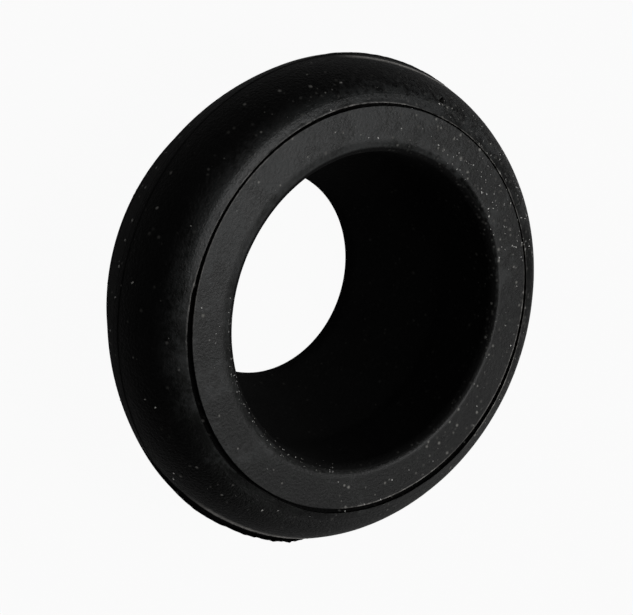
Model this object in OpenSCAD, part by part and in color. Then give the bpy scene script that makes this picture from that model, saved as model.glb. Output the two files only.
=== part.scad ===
// Rubber pipe seal: one moulded ring with a wide rounded collar, a tapered nose,
// a grip bore for the pipe and an inward lip at the rear.
// Frame: the rear face lies on z = 0 and the front face looks up along +Z.

/* [Overall] */
// Diameter of the collar at its crest
outer_d = 50.5; // [46:0.5:60]
// Length from the rear face to the front face
seal_length = 19.5; // [17:0.5:26]

/* [Front face] */
// Diameter of the fine moulded line round the front face
line_d = 41; // [39:0.5:44]
// Width of the moulded line
line_w = 0.35; // [0.2:0.05:0.5]
// Depth of the moulded line
line_depth = 0.4; // [0.2:0.05:0.5]

/* [Collar] */
// Height of the rounded shoulder from the crest to the front face
shoulder_h = 6; // [4:0.2:8]
// Shape of the shoulder: 1 is a quarter ellipse, and higher values are flatter
shoulder_shape = 1.3; // [1:0.05:1.6]
// Height of the straight band round the crest
band_h = 0.8; // [0.3:0.1:1.5]

/* [Taper and nose] */
// Diameter where the taper turns into the nose
taper_d = 44; // [42:0.2:45.4]
// Height of the nose, from the rear face to the taper
nose_h = 6.4; // [4:0.2:8]
// Diameter of the rear face
rear_d = 35.2; // [30:0.2:38]
// Radius of the swelling nose
nose_r = 18; // [12:1:40]
// Radius of the edges of the rear face
rear_edge_r = 0.6; // [0.2:0.1:1]

/* [Bore] */
// Diameter of the grip bore
bore_d = 31.2; // [28:0.2:32.4]
// Length of the grip bore, behind its mouth
grip_length = 6.8; // [4:0.2:9]
// Width of the soft blend at the mouth, measured on the front face
mouth_w = 1.6; // [1:0.1:2.6]
// Depth of the soft blend at the mouth
mouth_depth = 1.2; // [0.6:0.1:2]

/* [Lip] */
// Diameter of the opening in the lip
lip_d = 22; // [18:0.2:25]
// Height of the straight edge of the lip
lip_h = 1.8; // [1.4:0.1:3]
// Radius that eases the corners of the tapered passage
passage_r = 2; // [0.5:0.5:3]

/* [Hidden] */

$fn = 128;
arc_steps = 12;
corner_steps = 4;

crest_r = outer_d / 2;
line_r = line_d / 2;
taper_r = taper_d / 2;
rear_r = rear_d / 2;
bore_r = bore_d / 2;
lip_r = lip_d / 2;
crest_z = seal_length - shoulder_h;
bore_top_z = seal_length - mouth_depth;
bore_end_z = bore_top_z - grip_length;

// Points from a to b on an arc of radius r that swells to the right of the way from a to b
function swelling(a, b, r) =
    let (chord = b - a,
         half = norm(chord) / 2,
         right = [chord[1], -chord[0]] / norm(chord),
         centre = (a + b) / 2 - right * sqrt(r * r - half * half),
         start = atan2(a[1] - centre[1], a[0] - centre[0]),
         sweep = 2 * asin(half / r))
    [for (i = [0 : arc_steps])
        let (angle = start + sweep * i / arc_steps)
        centre + r * [cos(angle), sin(angle)]];

// Points of the round of radius r that replaces a corner between two straight runs
function eased(before, corner, after, r) =
    let (back = (before - corner) / norm(before - corner),
         ahead = (after - corner) / norm(after - corner),
         half_angle = acos(back * ahead) / 2,
         middle = (back + ahead) / norm(back + ahead),
         centre = corner + middle * r / sin(half_angle),
         first = corner + back * r / tan(half_angle) - centre,
         last = corner + ahead * r / tan(half_angle) - centre)
    [for (i = [0 : corner_steps])
        let (mix = first * (corner_steps - i) + last * i)
        centre + mix * r / norm(mix)];

// The crest rolls over into the front face
function shoulder() =
    [for (i = [0 : arc_steps])
        let (angle = 90 * (1 - i / arc_steps))
        [line_r + line_w / 2 + (crest_r - line_r - line_w / 2) * pow(sin(angle), shoulder_shape),
         crest_z + shoulder_h * pow(cos(angle), shoulder_shape)]];

// The front face blends down into the bore
function mouth() =
    [for (i = [0 : arc_steps])
        let (angle = 90 * i / arc_steps)
        [bore_r + mouth_w * (1 - sin(angle)), bore_top_z + mouth_depth * cos(angle)]];

function nose() =
    swelling([rear_r, 0], [taper_r, nose_h], nose_r);

// Half of the ring's section, from the lip round the outside and back down the bore
function section() =
    let (lip_foot = [lip_r, 0],
         lip_head = [lip_r, lip_h],
         bore_end = [bore_r, bore_end_z])
    concat(
        eased(lip_head, lip_foot, [rear_r, 0], rear_edge_r),
        eased(lip_foot, nose()[0], nose()[1], rear_edge_r),
        [for (i = [1 : arc_steps]) nose()[i]],
        [[crest_r, crest_z - band_h]],
        shoulder(),
        [[line_r, seal_length - line_depth], [line_r - line_w / 2, seal_length]],
        mouth(),
        eased([bore_r, bore_top_z], bore_end, lip_head, passage_r),
        eased(bore_end, lip_head, lip_foot, passage_r));

module pipe_seal() {
    color("#1d1d1f")
        rotate_extrude()
            polygon(section());
}

pipe_seal();
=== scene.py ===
"""A rubber pipe seal: one ring moulded in black rubber, standing on its flat rear face on a pale floor."""
from math import asin, atan2, cos, degrees, hypot, pi, radians, sin, sqrt, tan
from random import Random

import bpy
from mathutils import Matrix, Vector


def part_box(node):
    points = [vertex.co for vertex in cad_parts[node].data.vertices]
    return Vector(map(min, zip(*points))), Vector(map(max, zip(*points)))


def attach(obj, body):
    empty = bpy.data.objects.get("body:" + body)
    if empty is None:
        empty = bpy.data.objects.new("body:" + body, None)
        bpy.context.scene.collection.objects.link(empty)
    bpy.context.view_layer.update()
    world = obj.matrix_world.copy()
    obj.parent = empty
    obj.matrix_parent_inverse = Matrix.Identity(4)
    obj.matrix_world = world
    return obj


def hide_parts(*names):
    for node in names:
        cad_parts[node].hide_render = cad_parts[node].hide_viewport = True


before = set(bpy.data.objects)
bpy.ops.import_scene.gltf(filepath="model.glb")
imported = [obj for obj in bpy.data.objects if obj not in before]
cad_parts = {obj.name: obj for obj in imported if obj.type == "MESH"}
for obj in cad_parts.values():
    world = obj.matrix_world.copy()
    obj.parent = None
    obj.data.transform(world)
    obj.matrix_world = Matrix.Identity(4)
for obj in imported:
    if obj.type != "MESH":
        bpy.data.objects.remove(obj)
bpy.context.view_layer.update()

seal_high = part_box("pipe_seal")[1]

MM = 0.001

# ---------------------------------------------------------------- sizes, in millimetres

CREST_R = seal_high.x / MM
FRONT_Z = seal_high.z / MM

# The collar: a shoulder from the moulded line out to the crest, and the band behind the crest.
LINE_R = 20.68
SHOULDER_H = 6.0
SHOULDER_SHAPE = 1.3
BAND_H = 0.8

# The moulded line: a narrow gap in the front face, with a sharp outer edge and a rounder inner one.
LINE_W = 0.45
LINE_DEPTH = 0.45
LINE_EDGE = 0.04
LINE_ROUND = 0.15
# The line's bottom is a V, this much deeper in the middle.
LINE_V = 0.2
# How ragged its outer wall is, and how long the waves of that are.
LINE_RAGGED = 0.08
LINE_RAGGED_L = 1.2
# How much of its width is open: azimuth in degrees, and share. It all but closes just before +X and round -X.
LINE_OPEN = [(-180, 0.02), (-150, 0.55), (-120, 0.25), (-90, 0.45), (-70, 1.0), (-35, 1.0), (-22, 0.6), (-12, 0.08),
             (-4, 0.35), (6, 0.7), (30, 0.8), (60, 1.0), (80, 0.75), (100, 0.4), (135, 0.05), (180, 0.02)]
# How far out the shoulder gives way with the line's outer wall.
LINE_GIVE = 0.8
# Where highlights are painted pale on the line's inner and outer edges, where light catches them: azimuth and how
# far that fades to each side, in degrees, and how much.
INNER_EDGE_HIGHLIGHT = [(38, 27, 1.0), (88, 40, 0.75), (-100, 45, 0.3)]
OUTER_EDGE_HIGHLIGHT = [(88, 30, 1.0), (150, 42, 1.0), (-150, 35, 0.8), (-95, 40, 0.5)]
# How far onto the front face the painted highlight of the inner edge fades, and onto the shoulder that of the outer
# edge.
INNER_HIGHLIGHT_W = 0.08
OUTER_HIGHLIGHT_W = 0.1

# The taper, the nose and the rear face.
TAPER_R = 22.0
TAPER_SWELL = 0.26
NOSE_H = 6.4
NOSE_SWELL_R = 18.0
REAR_R = 17.6
REAR_EDGE_R = 0.6

# The bore, its mouth, which is a little wider, and the lip.
BORE_R = 15.6
MOUTH_OPEN = 0.2
MOUTH_W = 1.4
MOUTH_DEPTH = 1.2
GRIP_LENGTH = 6.8
LIP_R = 11.0
LIP_H = 1.8
PASSAGE_EASE_R = 2.0

# How far the middles of the moulded line, of the bore's mouth and of the lip lie from the middle of the crest.
LINE_ASIDE = (-0.26, -0.06)
BORE_ASIDE = (-0.3, 0.35)
LIP_ASIDE = (-0.4, -0.12)

# The flash: a ragged ledge that squeezed out where the two halves of the mould met, on the crest.
FLASH_PROUD = 0.24
FLASH_W = 0.6
FLASH_SLOPE = 0.15
# How high the waves of its ragged edge are, and how long.
FLASH_WAVE = 0.11
FLASH_WAVE_L = 0.6
# Where it stands out: azimuth and how far that fades to each side, in degrees, and how much. Elsewhere the
# least is left.
FLASH_SIDES = [(2, 34, 1.3), (180, 45, 0.7)]
FLASH_LEAST = 0.1
# Just past +X a strip of it is folded up against the shoulder, about this high.
FOLD_SIDES = [(4, 16, 1.0)]
FOLD_H = 1.15

# How far the moulded faces wander from a true surface, and how long the waves are.
FACE_WAVE = 0.06
FACE_WAVE_L = 7.0
# What lies this much nearer the axis than the bore's wall stays true.
PASSAGE_TRUE = 0.5

# A small pit in the shoulder: its azimuth in degrees, its radius on the ring, its width and its depth.
PIT = (179.9, 22.5, 0.7, 0.35)

# The level of a cloud pattern, from 0 to 1, at which a surface stays put. From below 0 it only moves outwards,
# and from above 1 only inwards.
LINE_LEVEL = 0.5
FLASH_LEVEL = -1.2
FOLD_LEVEL = -0.5
FACE_LEVEL = 1.5

# How many steps the ring is made of, the angle from which an edge is sharp, and how near counts as the same.
AROUND = 512
SHARP = radians(40)
HAIR = 0.01

# ---------------------------------------------------------------- the camera

IMAGE_W = 633
IMAGE_H = 615
SENSOR_W = 36.0
LENS_PX = 2020.6
CAMERA_DISTANCE = 200.0
CAMERA_CLIP = 10.0
# The angle between the ring's axis and the way to the camera, and how far the camera is rolled.
LOOK_ANGLE = radians(37.735)
ROLL = radians(20.039)
# Where the middle of the front face comes in the image, in pixels.
FACE_MIDDLE_PX = (367.3, 313.1)


def make_camera():
    """The camera looks down on the ring from the -Y side, rolled so that +Y comes to the right."""
    camera = bpy.data.objects.new("camera", bpy.data.cameras.new("camera"))
    bpy.context.scene.collection.objects.link(camera)
    bpy.context.scene.camera = camera
    camera.data.sensor_width = SENSOR_W
    camera.data.lens = LENS_PX / IMAGE_W * SENSOR_W
    camera.data.clip_start = CAMERA_CLIP * MM
    back = Vector((0, -sin(LOOK_ANGLE), cos(LOOK_ANGLE)))
    upright = Vector((0, cos(LOOK_ANGLE), sin(LOOK_ANGLE)))
    sideways = back.cross(upright)
    right = cos(ROLL) * upright + sin(ROLL) * sideways
    up = cos(ROLL) * sideways - sin(ROLL) * upright
    per_px = CAMERA_DISTANCE / LENS_PX
    across = (FACE_MIDDLE_PX[0] - (IMAGE_W - 1) / 2) * per_px
    down = (FACE_MIDDLE_PX[1] - (IMAGE_H - 1) / 2) * per_px
    stand = Vector((0, 0, FRONT_Z)) + back * CAMERA_DISTANCE - right * across + up * down
    camera.matrix_world = Matrix((right, up, back)).transposed().to_4x4()
    camera.location = stand * MM


make_camera()

# ---------------------------------------------------------------- colours and nodes


def linear(code):
    """A hex sRGB colour as linear RGBA."""
    parts = [int(code[i:i + 2], 16) / 255 for i in (1, 3, 5)]
    return [p / 12.92 if p <= 0.04045 else ((p + 0.055) / 1.055) ** 2.4 for p in parts] + [1.0]


def per(size_mm):
    """A texture scale at which one feature measures size_mm."""
    return 1 / (size_mm * MM)


def add(tree, kind, settings=None, **inputs):
    """Adds a node: settings are its properties, and inputs are values or other nodes' outputs."""
    node = tree.nodes.new("ShaderNode" + kind)
    for name, value in (settings or {}).items():
        setattr(node, name, value)
    for name, value in inputs.items():
        key = int(name[1:]) if name[0] == "_" and name[1:].isdigit() else name.replace("_", " ")
        socket = node.inputs[key]
        if isinstance(value, bpy.types.NodeSocket):
            tree.links.new(value, socket)
        else:
            socket.default_value = value
    return node


def new_material(name):
    """A material with nothing but its output."""
    material = bpy.data.materials.new(name)
    material.use_nodes = True
    tree = material.node_tree
    tree.nodes.clear()
    return material, tree, tree.nodes.new("ShaderNodeOutputMaterial")


def ramp(tree, factor, stops):
    """A colour ramp: stops are (place on it, hex colour)."""
    node = add(tree, "ValToRGB", Fac=factor)
    points = node.color_ramp.elements
    while len(points) < len(stops):
        points.new(0.5)
    for point, (position, code) in zip(points, stops):
        point.position = position
        point.color = linear(code)
    return node.outputs["Color"]


def times(tree, first, second):
    return add(tree, "Math", {"operation": "MULTIPLY"}, _0=first, _1=second).outputs[0]


def times_plus(tree, first, second, third):
    """The first times the second, plus the third."""
    return add(tree, "Math", {"operation": "MULTIPLY_ADD"}, _0=first, _1=second, _2=third).outputs[0]


def plus(tree, first, second):
    return add(tree, "Math", {"operation": "ADD"}, _0=first, _1=second).outputs[0]


def larger(tree, first, second):
    return add(tree, "Math", {"operation": "MAXIMUM"}, _0=first, _1=second).outputs[0]


def fade(tree, value, start, end, low=0.0, high=1.0, soft=False):
    """Goes from low to high as the value goes from start to end, and no further: evenly, or easing in and out."""
    kind = {"interpolation_type": "SMOOTHSTEP" if soft else "LINEAR"}
    return add(tree, "MapRange", kind, Value=value, From_Min=start, From_Max=end, To_Min=low,
               To_Max=high).outputs["Result"]


def noise(tree, where, size_mm, detail, roughness=0.5, distortion=0.0):
    """A cloudy pattern with features of size_mm."""
    return add(tree, "TexNoise", Vector=where, Scale=per(size_mm), Detail=detail, Roughness=roughness,
               Distortion=distortion).outputs["Fac"]


def blend(tree, share, first, second):
    """The first value where the share is 0, and the second where it is 1."""
    return add(tree, "Mix", {"data_type": "FLOAT"}, _0=share, _2=first, _3=second).outputs[0]


def blend_colours(tree, share, first, second):
    return add(tree, "Mix", {"data_type": "RGBA"}, _0=share, _6=first, _7=second).outputs[2]


def towards(tree, where, way):
    """How far a place lies from the axis towards the direction (x, y), in parts of WAY_R."""
    x, y = way
    return add(tree, "VectorMath", {"operation": "DOT_PRODUCT"}, _0=where,
               _1=(x / (WAY_R * MM), y / (WAY_R * MM), 0)).outputs["Value"]


# ---------------------------------------------------------------- materials

RUBBER_COLOURS = [(0.35, "#020202"), (0.65, "#050505")]
RUBBER_ROUGHNESS = (0.30, 0.40)
RUBBER_SPECULAR = 0.125
RUBBER_IOR = 1.5
# The mould's grain is finer than would show, so it is drawn this large. It is shallower on the front face.
GRAIN_SIZE = 0.3
GRAIN_DEPTH = 0.12
GRAIN_ON_FACE = 0.3
# The finish of the front face fades in between these depths below it.
FACE_FADE = (0.5, 0.15)

# Smears where fingers have rubbed the bloom, from weak to strong.
SMEAR_SIZE = 5.0
SMEAR = (0.3, 0.7)

# The distance from the axis at which a direction, given as (x, y), counts in full.
WAY_R = 25

# The film of dust, from thin to thick, is partly painted light: lighter where the surface faces up and towards
# azimuth 225.
# Its speckles are finer than would show, so they are drawn this large.
FILM_AND_LIGHT_COLOURS = [(0.56, "#060606"), (0.74, "#0d0e0d"), (0.92, "#242525")]
SPECKLE_SIZE = 0.6
# It lies from this steepness, as the Z of the surface's normal, and in full from that: partly dust that settles on
# what faces up, partly painted light from above.
FILM_AND_LIGHT_FROM = (0.55, 0.95)
# How strongly it is speckled, little opposite azimuth 110 and much round it, and where between them that changes.
DUSTY_WAY = (-0.35, 0.94)
PATCHINESS = (0.2, 2.4)
PATCHY_FROM = (-0.3, 0.5)
# Its thickness follows the smears, and by these shares the speckles and the way to azimuth 225, which is painted
# light that makes the face lighter on that side.
FILM_SPECKLE = 0.5
PAINTED_LIGHT_LEAN = 0.2
PAINTED_LIGHT_WAY = (-0.7, -0.7)
# The film is left out of the moulded line, as painted shade there: it starts again between these distances past it,
# or these depths in it.
PAST_LINE = (0.5, 0.7)
LINE_MOUTH = (0.36, 0.22)

# Grains of dust, dim or pale: at most one in a cell of this size, with a radius between these parts of a cell.
# Finer ones would not show, so these stand for them.
DUST_COLOURS = [(0.2, "#2e2e2c"), (0.8, "#484745"), (1.0, "#858480")]
DUST_CELL = 0.5
DUST_RADIUS = (0.15, 0.5)
DUST_CORE = 0.05
# The size of their drifts, how crowded they are off the front face and on it, and how that grows from azimuth
# 290 to 110.
DUST_DRIFT = 6.0
DUST_CROWD = (2.1, 1.3)
DUST_SHARE = (0.1, 1.0)
DUST_WAY_FROM = (-0.4, 0.9)
# Few lie in the bore: they start between these distances from its wall.
DUST_FROM = (0.4, 1.0)
DUST_IN_BORE = 0.1

# The roughness of dust, and of the bottom of the moulded line.
MATT = 0.9

# A painted highlight along the crest, round +X and -X, a pale line where light catches it: the height of its foot,
# and how wide its edges are.
PAINTED_CREST_HIGHLIGHT = "#a5a29e"
CREST_HIGHLIGHT_Z = 15.7
CREST_HIGHLIGHT_W = 0.25
# It fades in between these shares of the way to +X, a little towards +Y, and likewise to -X.
CREST_HIGHLIGHT_WAY = (1, 0.08)
CREST_HIGHLIGHT_FROM = (0.86, 0.94)
# How much lower its ends would be at the sides of the ring.
CREST_HIGHLIGHT_BEND = 10.0
# How much lower it runs before -X, and how near X = 0 that changes.
CREST_HIGHLIGHT_DROP = 0.7
CREST_HIGHLIGHT_TURN = 5
# How far its foot wanders with the speckles.
CREST_HIGHLIGHT_RAGGED = 0.4
# It is weaker where the smears are weak: between these strengths, down to that share.
CREST_HIGHLIGHT_FIRM = (0.4, 0.55)
CREST_HIGHLIGHT_LEAST = 0.45
# The painted highlights on the moulded line's edges are speckled: between these levels, from weak to strong.
EDGE_HIGHLIGHT_SPECKLE = (0.35, 0.6)
EDGE_HIGHLIGHT_SHARE = (0.1, 0.55)
# Outside the painted crest highlight the crest is dull before +X, from so far that way. It fades out between these
# depths below the crest.
DULL_WAY = (0.92, -0.39)
DULL_FROM = (0.62, 0.8)
DULL_SPECULAR = 0.04
DULL_FADE = (3.5, 0.5)

# Loose flecks differ in paleness, from place to place.
TALC_COLOURS = [(0.35, "#8b8a86"), (0.65, "#cfcecb")]
TALC_SIZE = 0.8
TALC_ROUGHNESS = 0.95

# How much of what the camera sees of the floor is its own glow, and its paint, which is greyer than it looks, so
# that the floor doesn't brighten the rubber.
FLOOR_GLOW = 0.95
FLOOR_PAINT = "#7c7c7c"


def dust_film_and_painted_light(tree, where, split, radius, smear, speckle):
    """Fine dust on what faces up, with painted light and shade: how thick it lies, lighter where it faces up and
    towards azimuth 225, its colour, and what isn't down in the line, where it is left out as painted shade.
    """
    faces_up = add(tree, "SeparateXYZ", Vector=add(tree, "NewGeometry").outputs["Normal"]).outputs["Z"]
    uneven = fade(tree, towards(tree, where, DUSTY_WAY), *PATCHY_FROM, *PATCHINESS)
    patchy = times_plus(tree, fade(tree, speckle, 0, 1, -0.5, 0.5), uneven, faces_up)
    # Painted light: the film is fullest where the surface faces up, as light from above.
    lying_and_lit = fade(tree, patchy, *FILM_AND_LIGHT_FROM, soft=True)
    past_line = fade(tree, radius, *((LINE_R + away) * MM for away in PAST_LINE))
    not_sunk = fade(tree, split["Z"], *((FRONT_Z - depth) * MM for depth in LINE_MOUTH))
    # Painted shade: the film is left out down in the moulded line, so the line stays near black.
    outside_line_shade = larger(tree, past_line, not_sunk)
    # Painted light: the film is thicker, so lighter, towards azimuth 225.
    smear_and_painted_light = times_plus(tree, towards(tree, where, PAINTED_LIGHT_WAY), PAINTED_LIGHT_LEAN, smear)
    thickness_and_light = times_plus(tree, speckle, FILM_SPECKLE, smear_and_painted_light)
    return times(tree, lying_and_lit, outside_line_shade), ramp(tree, thickness_and_light, FILM_AND_LIGHT_COLOURS), outside_line_shade


def dust_grains(tree, where, radius, on_face):
    """Grains of dust: where they are, and their colour."""
    cells = add(tree, "TexVoronoi", {"voronoi_dimensions": "3D"}, Vector=where, Scale=per(DUST_CELL))
    luck = add(tree, "SeparateColor", Color=cells.outputs["Color"]).outputs
    reach = fade(tree, luck["Green"], 0, 1, *DUST_RADIUS)
    grain = fade(tree, cells.outputs["Distance"], reach, DUST_CORE)
    drift = noise(tree, where, DUST_DRIFT, 2.0)
    side = fade(tree, towards(tree, where, DUSTY_WAY), *DUST_WAY_FROM, *DUST_SHARE)
    crowd = fade(tree, on_face, 0, 1, *DUST_CROWD)
    share = times(tree, drift, times(tree, side, crowd))
    kept = add(tree, "Math", {"operation": "LESS_THAN"}, _0=luck["Red"], _1=share).outputs[0]
    outside = fade(tree, radius, *((BORE_R + away) * MM for away in DUST_FROM), DUST_IN_BORE)
    return times(tree, times(tree, grain, kept), outside), ramp(tree, luck["Blue"], DUST_COLOURS)


def painted_highlights_and_dull(tree, where, split, smear, speckle):
    """Where highlights are painted pale, on the crest and on the moulded line's edges, and where the crest is dull.
    """
    across = add(tree, "Math", {"operation": "ABSOLUTE"}, _0=split["X"]).outputs[0]
    turned = add(tree, "CombineXYZ", X=across, Y=split["Y"]).outputs[0]
    highlight_side = towards(tree, turned, CREST_HIGHLIGHT_WAY)
    near_highlight = fade(tree, highlight_side, *CREST_HIGHLIGHT_FROM, soft=True)
    bend = times_plus(tree, highlight_side, -CREST_HIGHLIGHT_BEND * MM, CREST_HIGHLIGHT_BEND * MM)
    raised = plus(tree, split["Z"], bend)
    drop = fade(tree, split["X"], -CREST_HIGHLIGHT_TURN * MM, CREST_HIGHLIGHT_TURN * MM, CREST_HIGHLIGHT_DROP * MM, 0)
    level = times_plus(tree, speckle, CREST_HIGHLIGHT_RAGGED * MM, plus(tree, raised, drop))
    above = fade(tree, level, CREST_HIGHLIGHT_Z * MM, (CREST_HIGHLIGHT_Z + CREST_HIGHLIGHT_W) * MM)
    below = fade(tree, level, (CREST_HIGHLIGHT_Z + 1.5 * CREST_HIGHLIGHT_W) * MM, (CREST_HIGHLIGHT_Z + 4 * CREST_HIGHLIGHT_W) * MM, 1, 0)
    firm = fade(tree, smear, *CREST_HIGHLIGHT_FIRM, CREST_HIGHLIGHT_LEAST)
    # Painted highlight: a pale line along the crest, where light catches it.
    crest_highlight = times(tree, times(tree, above, below), times(tree, firm, near_highlight))

    edge = add(tree, "Attribute", {"attribute_name": "painted_edge_highlight"}).outputs["Fac"]
    # Painted highlights on the moulded line's edges, where light catches them.
    lit_edges = times(tree, edge, fade(tree, speckle, *EDGE_HIGHLIGHT_SPECKLE, *EDGE_HIGHLIGHT_SHARE))

    near_dull = fade(tree, towards(tree, where, DULL_WAY), *DULL_FROM, soft=True)
    crest_z = FRONT_Z - SHOULDER_H
    high = fade(tree, split["Z"], *((crest_z - depth) * MM for depth in DULL_FADE), soft=True)
    dull = times(tree, fade(tree, above, 0, 1, 1, 0), times(tree, high, near_dull))
    return larger(tree, crest_highlight, lit_edges), dull


def moulded_rubber():
    """EPDM rubber as it leaves the mould: near black, a dull sheen, a fine grain, smears and pale dust, with painted
    light: lighter where it faces up, painted shade in the moulded line, and painted highlights.
    """
    material, tree, output = new_material("moulded_black_rubber")
    where = add(tree, "TexCoord").outputs["Object"]
    split = add(tree, "SeparateXYZ", Vector=where).outputs
    flat = add(tree, "VectorMath", {"operation": "MULTIPLY"}, _0=where, _1=(1, 1, 0)).outputs[0]
    radius = add(tree, "VectorMath", {"operation": "LENGTH"}, _0=flat).outputs["Value"]
    on_face = fade(tree, split["Z"], *((FRONT_Z - depth) * MM for depth in FACE_FADE))
    smear = noise(tree, where, SMEAR_SIZE, 5.0, 0.62, 0.4)
    speckle = noise(tree, where, SPECKLE_SIZE, 3.0, 0.6)

    film_and_light, film_and_light_colour, outside_line_shade = dust_film_and_painted_light(tree, where, split, radius, smear, speckle)
    dust, dust_colour = dust_grains(tree, where, radius, on_face)
    painted_highlights, dull = painted_highlights_and_dull(tree, where, split, smear, speckle)

    rubber = ramp(tree, smear, RUBBER_COLOURS)
    # The film is partly dust and partly painted light.
    filmed_and_lit = blend_colours(tree, film_and_light, rubber, film_and_light_colour)
    dusty = blend_colours(tree, dust, filmed_and_lit, dust_colour)
    # Painted highlights: the crest's bright line and the lit edges of the moulded line are painted pale.
    colour = blend_colours(tree, painted_highlights, dusty, linear(PAINTED_CREST_HIGHLIGHT))

    sheen = fade(tree, smear, *SMEAR, *RUBBER_ROUGHNESS)
    gloss = blend(tree, outside_line_shade, MATT, sheen)
    finish = blend(tree, dull, blend(tree, dust, gloss, MATT), 1.0)
    shine = fade(tree, dull, 0, 1, RUBBER_SPECULAR, DULL_SPECULAR)

    grain = noise(tree, where, GRAIN_SIZE, 3.0, 0.65)
    relief = times(tree, grain, fade(tree, on_face, 0, 1, 1.0, GRAIN_ON_FACE))
    bump = add(tree, "Bump", Strength=1.0, Distance=GRAIN_DEPTH * MM, Height=relief).outputs["Normal"]

    shader = add(tree, "BsdfPrincipled", Base_Color=colour, Roughness=finish, Specular_IOR_Level=shine, Normal=bump)
    shader.inputs["IOR"].default_value = RUBBER_IOR
    tree.links.new(shader.outputs["BSDF"], output.inputs["Surface"])
    return material


def loose_dust():
    """Flecks of talc and lint from the box: matt, pale grey."""
    material, tree, output = new_material("pale_talc_dust")
    where = add(tree, "TexCoord").outputs["Object"]
    colour = ramp(tree, noise(tree, where, TALC_SIZE, 1.0), TALC_COLOURS)
    shader = add(tree, "BsdfPrincipled", Base_Color=colour)
    shader.inputs["Roughness"].default_value = TALC_ROUGHNESS
    tree.links.new(shader.outputs["BSDF"], output.inputs["Surface"])
    return material


def floor_paint():
    """Plain matt white board: it looks white, and keeps a soft shadow."""
    material, tree, output = new_material("matt_white_board")
    board = add(tree, "BsdfDiffuse", Color=linear(FLOOR_PAINT))
    glow = add(tree, "Emission", Color=(1, 1, 1, 1), Strength=1.0)
    path = add(tree, "LightPath")
    seen = times(tree, path.outputs["Is Camera Ray"], FLOOR_GLOW)
    mix = add(tree, "MixShader", _0=seen, _1=board.outputs[0], _2=glow.outputs[0])
    tree.links.new(mix.outputs[0], output.inputs["Surface"])
    return material


# ---------------------------------------------------------------- the section, from the lip round the outside


def eased(before, corner, after, r, steps=6):
    """Points of the round that replaces a corner between two straight runs."""
    here = Vector(corner)
    back = (Vector(before) - here).normalized()
    ahead = (Vector(after) - here).normalized()
    half = back.angle(ahead) / 2
    centre = here + (back + ahead).normalized() * r / sin(half)
    first = here + back * r / tan(half) - centre
    last = here + ahead * r / tan(half) - centre
    mixes = [first.lerp(last, i / steps) for i in range(steps + 1)]
    return [tuple(centre + mix.normalized() * r) for mix in mixes]


def shoulder(steps=30):
    """The crest rolls over into the front face: the first point is at the crest."""
    inner = LINE_R + LINE_W / 2 + LINE_EDGE
    reach = CREST_R - FLASH_PROUD - inner
    points = []
    for i in range(steps + 1):
        angle = pi / 2 * (1 - i / steps)
        up = max(cos(angle), 0) ** SHOULDER_SHAPE
        points.append((inner + reach * sin(angle) ** SHOULDER_SHAPE, FRONT_Z - SHOULDER_H * (1 - up)))
    return points


def nose(steps=14):
    """The nose swells from the rear face out to the taper."""
    foot, head = Vector((REAR_R, 0)), Vector((TAPER_R, NOSE_H))
    chord = head - foot
    outward = Vector((chord.y, -chord.x)).normalized()
    centre = (foot + head) / 2 - outward * sqrt(NOSE_SWELL_R ** 2 - chord.length_squared / 4)
    start = atan2(foot.y - centre.y, foot.x - centre.x)
    sweep = 2 * asin(chord.length / 2 / NOSE_SWELL_R)
    angles = [start + sweep * i / steps for i in range(steps + 1)]
    return [(centre.x + NOSE_SWELL_R * cos(a), centre.y + NOSE_SWELL_R * sin(a)) for a in angles]


def taper(foot, head, steps=10):
    """The taper from the nose out to the band, swollen a little: points without the ends."""
    low, high = Vector(foot), Vector(head)
    outward = Vector(((high - low).y, (low - high).x)).normalized()
    parts = [i / steps for i in range(1, steps)]
    return [tuple(low.lerp(high, part) + outward * TAPER_SWELL * 4 * part * (1 - part)) for part in parts]


def mouth(steps=14):
    """The front face blends down into the bore."""
    angles = [pi / 2 * i / steps for i in range(steps + 1)]
    brim = BORE_R + MOUTH_OPEN
    return [(brim + MOUTH_W * (1 - sin(a)), FRONT_Z - MOUTH_DEPTH * (1 - cos(a))) for a in angles]


def smooth(part):
    """Eases from 0 to 1."""
    part = min(max(part, 0), 1)
    return part * part * (3 - 2 * part)


def aside(radius, height):
    """How far a loop's middle lies off the axis: the mouth's and the lip's most, and the crest's not at all."""
    face_z = FRONT_Z - 2 * LINE_DEPTH
    brim = BORE_R + MOUTH_OPEN
    if radius < brim + MOUTH_W:
        bore = Vector(BORE_ASIDE)
        into = smooth((radius - brim) / MOUTH_W)
        deep = smooth((FRONT_Z - MOUTH_DEPTH - height) / GRIP_LENGTH)
        return bore.lerp(Vector(LINE_ASIDE), into).lerp(Vector(LIP_ASIDE), deep)
    if height > face_z and radius < LINE_R + LINE_W:
        return Vector(LINE_ASIDE)
    out = smooth((radius - LINE_R) / (CREST_R - LINE_R))
    forward = smooth((height - FRONT_Z + SHOULDER_H) / SHOULDER_H)
    return Vector(LINE_ASIDE) * (1 - out) * forward


def between(a, b, steps):
    """Points evenly spaced between two points, without the points themselves."""
    return [(a[0] + (b[0] - a[0]) * i / steps, a[1] + (b[1] - a[1]) * i / steps) for i in range(1, steps)]


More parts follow.
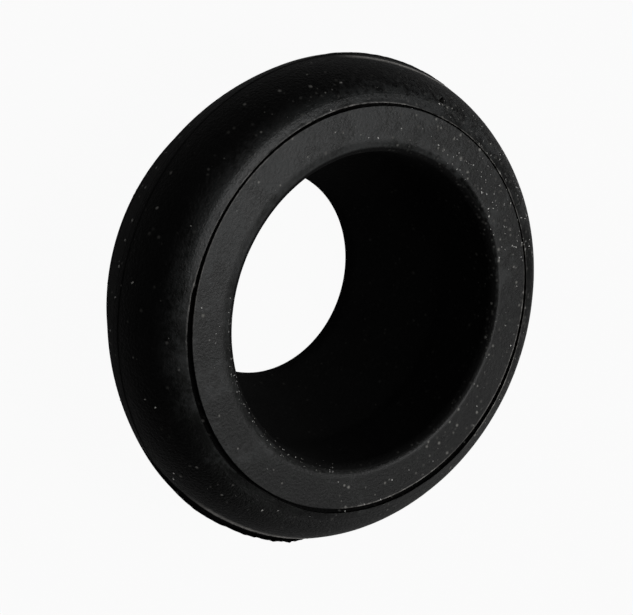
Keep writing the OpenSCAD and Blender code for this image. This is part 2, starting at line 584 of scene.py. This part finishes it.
def section():
    """The ring's section as (radius, height) loops, from the lip round the outside and back down the bore."""
    crest_z = FRONT_Z - SHOULDER_H
    band_r = CREST_R - FLASH_PROUD
    band_foot = crest_z - BAND_H
    bore_top = (BORE_R + MOUTH_OPEN, FRONT_Z - MOUTH_DEPTH)
    bore_end = (BORE_R, FRONT_Z - MOUTH_DEPTH - GRIP_LENGTH)
    lip_head = (LIP_R, LIP_H)
    lip_foot = (LIP_R, 0)
    swell = nose()
    line_in, line_out = LINE_R - LINE_W / 2, LINE_R + LINE_W / 2
    floor_z = FRONT_Z - LINE_DEPTH
    loops = eased(lip_head, lip_foot, swell[0], REAR_EDGE_R)
    loops += eased(lip_foot, swell[0], swell[1], REAR_EDGE_R, 4)
    loops += swell[1:]
    loops += taper(swell[-1], (band_r, band_foot))
    loops += [(band_r, band_foot)]
    loops += [(band_r, crest_z - depth) for depth in (FLASH_W, FLASH_W - FLASH_SLOPE, FLASH_W / 2, FLASH_SLOPE)]
    loops += between(loops[-1], (band_r, crest_z), 3)
    loops += shoulder()
    loops += [(line_out, FRONT_Z - LINE_EDGE), (line_out, floor_z), (LINE_R, floor_z - LINE_V),
              (line_in, floor_z)]
    loops += eased((line_in, floor_z), (line_in, FRONT_Z), (BORE_R, FRONT_Z), LINE_ROUND)
    loops += [(line_in - LINE_ROUND - INNER_HIGHLIGHT_W, FRONT_Z)]
    loops += between(loops[-1], (BORE_R + MOUTH_OPEN + MOUTH_W, FRONT_Z), 8)
    loops += mouth()
    loops += between(bore_top, bore_end, 6)
    loops += eased(bore_top, bore_end, lip_head, PASSAGE_EASE_R)
    loops += between(loops[-1], lip_head, 8)[:-1]
    loops += eased(bore_end, lip_head, lip_foot, PASSAGE_EASE_R, 4)
    return loops


# ---------------------------------------------------------------- the ring


def select_where(piece, wanted):
    """Goes into edit mode with only the wanted vertices selected."""
    bpy.ops.object.mode_set(mode="EDIT")
    bpy.ops.mesh.select_mode(type="VERT")
    bpy.ops.mesh.select_all(action="DESELECT")
    bpy.ops.object.mode_set(mode="OBJECT")
    for vertex in piece.data.vertices:
        vertex.select = wanted(vertex)
    bpy.ops.object.mode_set(mode="EDIT")


def place(vertex, middle=(0, 0)):
    """A vertex's azimuth in degrees, and its radius and height in millimetres."""
    x, y = vertex.co.x / MM - middle[0], vertex.co.y / MM - middle[1]
    return degrees(atan2(y, x)), hypot(x, y), vertex.co.z / MM


def most(azimuth, spots):
    """The largest share that any of the spots gives an azimuth: each fades out over the outer two thirds."""
    turns = [(abs((azimuth - middle + 180) % 360 - 180) / span, share) for middle, span, share in spots]
    return max(share * smooth(1.5 * (1 - turn)) for turn, share in turns)


def line_outer(vertex):
    """The outer wall of the moulded line."""
    radius, height = place(vertex, LINE_ASIDE)[1:]
    return 0 < radius - LINE_R < LINE_W / 2 + 2 * HAIR and height > FRONT_Z - 2 * LINE_DEPTH


def closing(vertex):
    """How far the line's outer wall has moved in to its inner wall; the shoulder beyond gives way with it."""
    azimuth, radius, height = place(vertex, LINE_ASIDE)
    beyond = radius - LINE_R - LINE_W / 2
    if radius < LINE_R or beyond > LINE_GIVE or height < FRONT_Z - 2 * LINE_DEPTH:
        return 0
    for (start, open_there), (end, open_next) in zip(LINE_OPEN, LINE_OPEN[1:]):
        if azimuth <= end:
            part = (azimuth - start) / (end - start)
            return (1 - open_there - (open_next - open_there) * part) * smooth(1 - beyond / LINE_GIVE)


def front(vertex):
    """The front face, the shoulder, and the bore down to the shoulder's foot."""
    radius, height = place(vertex)[1:]
    return height > FRONT_Z - SHOULDER_H + HAIR and radius > BORE_R - PASSAGE_TRUE


def flash(vertex):
    """How far the flash stands out: it begins below the crest, and ends above the band's foot."""
    azimuth, radius, height = place(vertex)
    depth = FRONT_Z - SHOULDER_H - height
    if not HAIR < depth < FLASH_W - HAIR or radius < CREST_R - FLASH_PROUD - HAIR:
        return 0
    return min(depth / FLASH_SLOPE, 1) * max(FLASH_LEAST, most(azimuth, FLASH_SIDES))


def fold(vertex):
    """How far the flash is folded up."""
    return flash(vertex) and most(place(vertex)[0], FOLD_SIDES)


def mark_edge_highlights(ring):
    """Marks the two edges of the moulded line where a highlight is painted on them."""
    lit_edges = ring.data.attributes.new("painted_edge_highlight", "FLOAT", "POINT")
    for vertex, mark in zip(ring.data.vertices, lit_edges.data):
        azimuth, radius, height = place(vertex, LINE_ASIDE)
        if height > FRONT_Z - LINE_DEPTH / 2:
            if -LINE_ROUND - 2 * HAIR < radius - LINE_R + LINE_W / 2 < -LINE_ROUND / 4:
                mark.value = most(azimuth, INNER_EDGE_HIGHLIGHT)
            elif HAIR < radius - LINE_R - LINE_W / 2 < LINE_EDGE + OUTER_HIGHLIGHT_W:
                mark.value = most(azimuth, OUTER_EDGE_HIGHLIGHT)


def pinch(ring):
    """Narrows the line: its outer wall is cast towards its inner wall."""
    group = ring.vertex_groups.new(name="closing")
    for vertex in ring.data.vertices:
        move = closing(vertex)
        if move:
            group.add([vertex.index], move, "REPLACE")
    bpy.ops.object.empty_add(location=(*Vector(LINE_ASIDE) * MM, 0))
    middle = bpy.context.object
    bpy.context.view_layer.objects.active = ring
    modifier = ring.modifiers.new("closing", "CAST")
    modifier.cast_type = "CYLINDER"
    modifier.factor = 1.0
    modifier.use_z = False
    modifier.use_radius_as_size = False
    modifier.size = (LINE_R - LINE_W / 2) * MM
    modifier.object = middle
    modifier.vertex_group = "closing"
    bpy.ops.object.modifier_apply(modifier="closing")
    bpy.data.objects.remove(middle)


def wander(ring, share, reach, wave, level, direction="NORMAL"):
    """Moves a share of each vertex by a cloud pattern with waves that long, along its normal or an axis."""
    name = share.__name__
    group = ring.vertex_groups.new(name=name)
    for vertex in ring.data.vertices:
        amount = float(share(vertex))
        if amount:
            group.add([vertex.index], amount, "REPLACE")
    clouds = bpy.data.textures.new(name, "CLOUDS")
    clouds.noise_scale = wave * MM
    clouds.noise_depth = 2
    modifier = ring.modifiers.new(name, "DISPLACE")
    modifier.texture = clouds
    modifier.texture_coords = "LOCAL"
    modifier.vertex_group = name
    modifier.direction = direction
    modifier.strength = reach * MM
    modifier.mid_level = level
    bpy.ops.object.modifier_apply(modifier=name)


def drop_on(ring, azimuth, radius):
    """Where something dropped onto the front of the ring comes to rest, and the surface's normal there."""
    start = Vector((radius * cos(radians(azimuth)), radius * sin(radians(azimuth)), 2 * FRONT_Z)) * MM
    return ring.ray_cast(start, Vector((0, 0, -1)))[1:3]


def push_on(ring, azimuth, height):
    """Where something pushed in against the side of the ring stops, and the surface's normal there."""
    out = Vector((cos(radians(azimuth)), sin(radians(azimuth)), 0))
    return ring.ray_cast(out * 2 * CREST_R * MM + Vector((0, 0, height * MM)), -out)[1:3]


def dent(ring, azimuth, radius, width, depth):
    """Presses a small pit into the front: degrees and millimetres."""
    spot, normal = drop_on(ring, azimuth, radius)
    select_where(ring, lambda vertex: (vertex.co - spot).length < width / 2 * MM)
    bpy.ops.transform.translate(value=normal * -depth * MM)
    bpy.ops.object.mode_set(mode="OBJECT")


def make_ring():
    """Extrudes a circle from loop to loop of the section, and closes it on itself."""
    loops = section()
    radius, height = loops[0]
    middle = aside(radius, height)
    bpy.ops.object.select_all(action="DESELECT")
    bpy.ops.mesh.primitive_circle_add(vertices=AROUND, radius=radius * MM, location=(*middle * MM, height * MM))
    ring = bpy.context.object
    ring.name = "moulded_ring"
    bpy.ops.object.transform_apply(location=True)
    bpy.ops.object.mode_set(mode="EDIT")
    bpy.ops.mesh.select_all(action="SELECT")
    for next_radius, next_height in loops[1:] + loops[:1]:
        next_middle = aside(next_radius, next_height)
        move = (*(next_middle - middle) * MM, (next_height - height) * MM)
        bpy.ops.mesh.extrude_edges_move(TRANSFORM_OT_translate={"value": move})
        grow = next_radius / radius
        bpy.ops.transform.resize(value=(grow, grow, 1), center_override=(*next_middle * MM, 0))
        radius, height, middle = next_radius, next_height, next_middle
    bpy.ops.mesh.select_all(action="SELECT")
    bpy.ops.mesh.remove_doubles(threshold=HAIR / 10 * MM)
    bpy.ops.mesh.normals_make_consistent(inside=False)
    bpy.ops.object.mode_set(mode="OBJECT")
    mark_edge_highlights(ring)
    pinch(ring)
    wander(ring, line_outer, LINE_RAGGED, LINE_RAGGED_L, LINE_LEVEL)
    wander(ring, flash, FLASH_WAVE, FLASH_WAVE_L, FLASH_LEVEL)
    wander(ring, fold, FOLD_H, FLASH_WAVE_L, FOLD_LEVEL, "Z")
    wander(ring, front, FACE_WAVE, FACE_WAVE_L, FACE_LEVEL)
    dent(ring, *PIT)
    bpy.ops.object.shade_smooth_by_angle(angle=SHARP)
    return ring


# ---------------------------------------------------------------- loose dust

# The flecks that stand out, seated one by one: azimuth in degrees, radius or height in millimetres, and size.
FRONT_FLECKS = [(142, 17.3, 0.3), (151, 17.8, 0.22), (165, 17.3, 0.2), (-159, 17.5, 0.2), (126, 17.2, 0.18),
                (102, 18.4, 0.16), (35, 18.4, 0.2), (30, 20.0, 0.2), (24, 20.0, 0.22), (-179.3, 21.95, 0.28),
                (175.9, 22.16, 0.24), (163, 20.9, 0.18), (80, 21.3, 0.16), (-9, 22.0, 0.26)]
SIDE_FLECKS = [(-50, 16.8, 0.22), (-52, 16.0, 0.2), (-31, 15.4, 0.24), (-29, 14.8, 0.24), (-60, 11.0, 0.2),
               (-63, 11.4, 0.2), (-52, 10.4, 0.18), (-81, 12.4, 0.4), (-91.4, 12.2, 0.32), (-86.8, 12.1, 0.3),
               (-97, 10.9, 0.24), (-99.3, 11.5, 0.28), (-104.4, 11.3, 0.2), (-108.6, 11.2, 0.2), (-112.8, 11.7, 0.3),
               (-116.6, 11.4, 0.22), (-78.6, 14.9, 0.28), (-74.3, 12.8, 0.26), (-66.2, 11.6, 0.3),
               (-48.5, 10.8, 0.26)]
# Smaller ones are scattered: most lie round SCATTER_MIDDLE on the front, and SCATTER_TURN further round on the
# side. ON_FRONT is the share on the front.
SCATTERED_FLECKS = 200
SCATTER_SEED = 11
SCATTER_MIDDLE = 110
SCATTER_SPREAD = 75
SCATTER_TURN = 150
ON_FRONT = 0.7
FRONT_RADII = (17.0, 24.0)
SIDE_HEIGHTS = (3.0, 12.5)
# The smallest of them, and how much larger one can be.
SMALLEST_FLECK = 0.05
LARGER_BY = 0.15
# Two regions are dusty: the mouth's edge before -Y and +X, and the front and the shoulder between +Y and -X.
# How many flecks, and between which azimuths, radii and sizes.
DUSTY_REGIONS = [(110, (-80, 12), (15.45, 16.5), (0.04, 0.12)), (120, (126, 174), (17.0, 24.4), (0.06, 0.17))]
# A fleck's length, width and height as parts of its size, and how much longer some are.
FLECK_SHAPE = (1.0, 0.7, 0.4)
FLECK_STRETCH = (0.8, 1.6)


def make_flecks(ring):
    """One fleck is modelled, a millimetre long, and copies of it are seated on the ring."""
    random = Random(SCATTER_SEED)
    seats = [(*drop_on(ring, azimuth, radius), size) for azimuth, radius, size in FRONT_FLECKS]
    seats += [(*push_on(ring, azimuth, height), size) for azimuth, height, size in SIDE_FLECKS]
    for i in range(SCATTERED_FLECKS):
        azimuth = random.gauss(SCATTER_MIDDLE, SCATTER_SPREAD)
        size = SMALLEST_FLECK + LARGER_BY * random.random() ** 3
        if random.random() < ON_FRONT:
            seats.append((*drop_on(ring, azimuth, random.uniform(*FRONT_RADII)), size))
        else:
            seats.append((*push_on(ring, azimuth + SCATTER_TURN, random.uniform(*SIDE_HEIGHTS)), size))
    for count, azimuths, radii, sizes in DUSTY_REGIONS:
        for i in range(count):
            spot = drop_on(ring, random.uniform(*azimuths), random.uniform(*radii))
            seats.append((*spot, random.uniform(*sizes)))
    bpy.ops.object.select_all(action="DESELECT")
    bpy.ops.mesh.primitive_ico_sphere_add(subdivisions=1, radius=0.5 * MM)
    fleck = bpy.context.object
    bpy.ops.object.mode_set(mode="EDIT")
    bpy.ops.mesh.select_all(action="SELECT")
    bpy.ops.transform.resize(value=FLECK_SHAPE)
    bpy.ops.object.mode_set(mode="OBJECT")
    for spot, normal, size in seats:
        copy = bpy.data.objects.new("fleck", fleck.data.copy())
        bpy.context.scene.collection.objects.link(copy)
        spin = Matrix.Rotation(random.uniform(0, 2 * pi), 4, "Z")
        turn = normal.to_track_quat("Z", "Y").to_matrix().to_4x4()
        stretch = Matrix.Diagonal((size * random.uniform(*FLECK_STRETCH), size, size, 1))
        copy.data.transform(Matrix.Translation(spot) @ turn @ spin @ stretch)
        copy.select_set(True)
    # The one that was copied lies in the first seat too.
    fleck.data.transform(Matrix.Translation(seats[0][0]) @ Matrix.Scale(seats[0][2], 4))
    bpy.ops.object.join()
    fleck.name = "dust_flecks"
    fleck.data.materials.append(loose_dust())
    return fleck


# ---------------------------------------------------------------- the studio

FLOOR_SIZE = 6000

# The soft lights: azimuth and elevation in degrees, size in millimetres, and power in watts.
LAMPS = {
    "key": (120, 72, 250, 2.2),
    "back": (90, 52, 250, 0.48),
    "low_back_left": (120, 10, 250, 0.22),
    "low_back_right": (72, 12, 420, 0.62),
    "low_right": (38, 12, 250, 0.14),
    "front_left": (235, 52, 250, 0.4),
    "front_right": (330, 52, 250, 0.2),
}
LAMP_DISTANCE = 600
# The point on the axis that they stand round and face, and what the room adds to their light.
LAMP_AIM = Vector((0, 0, 15))
ROOM_LIGHT = 0.005


def make_floor():
    """A board that the seal stands on, wide enough to fill the view."""
    bpy.ops.object.select_all(action="DESELECT")
    bpy.ops.mesh.primitive_plane_add(size=FLOOR_SIZE * MM, location=(0, 0, 0))
    floor = bpy.context.object
    floor.name = "floor"
    floor.data.materials.append(floor_paint())


def softbox(name, azimuth, elevation, size, power):
    """A square soft light that faces the seal."""
    lamp = bpy.data.lights.new(name, "AREA")
    lamp.shape = "SQUARE"
    lamp.size = size * MM
    lamp.energy = power
    holder = bpy.data.objects.new(name, lamp)
    bpy.context.scene.collection.objects.link(holder)
    flat = cos(radians(elevation))
    out = Vector((flat * cos(radians(azimuth)), flat * sin(radians(azimuth)), sin(radians(elevation))))
    holder.rotation_euler = (-out).to_track_quat("-Z", "Y").to_euler()
    holder.location = (LAMP_AIM + out * LAMP_DISTANCE) * MM


def light_studio():
    """The lamps, and a white room that lights the seal only faintly."""
    for name, lamp in LAMPS.items():
        softbox(name, *lamp)
    world = bpy.data.worlds.new("studio")
    bpy.context.scene.world = world
    world.use_nodes = True
    tree = world.node_tree
    tree.nodes.clear()
    path = add(tree, "LightPath")
    strength = fade(tree, path.outputs["Is Camera Ray"], 0, 1, ROOM_LIGHT, 1.0)
    sky = add(tree, "Background", Color=(1, 1, 1, 1), Strength=strength)
    output = tree.nodes.new("ShaderNodeOutputWorld")
    tree.links.new(sky.outputs[0], output.inputs["Surface"])


# ---------------------------------------------------------------- putting it together

bpy.context.scene.view_settings.view_transform = "Standard"
make_floor()
light_studio()

ring = make_ring()
ring.data.materials.append(moulded_rubber())
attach(ring, "root")
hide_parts("pipe_seal")

flecks = make_flecks(ring)
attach(flecks, "root")
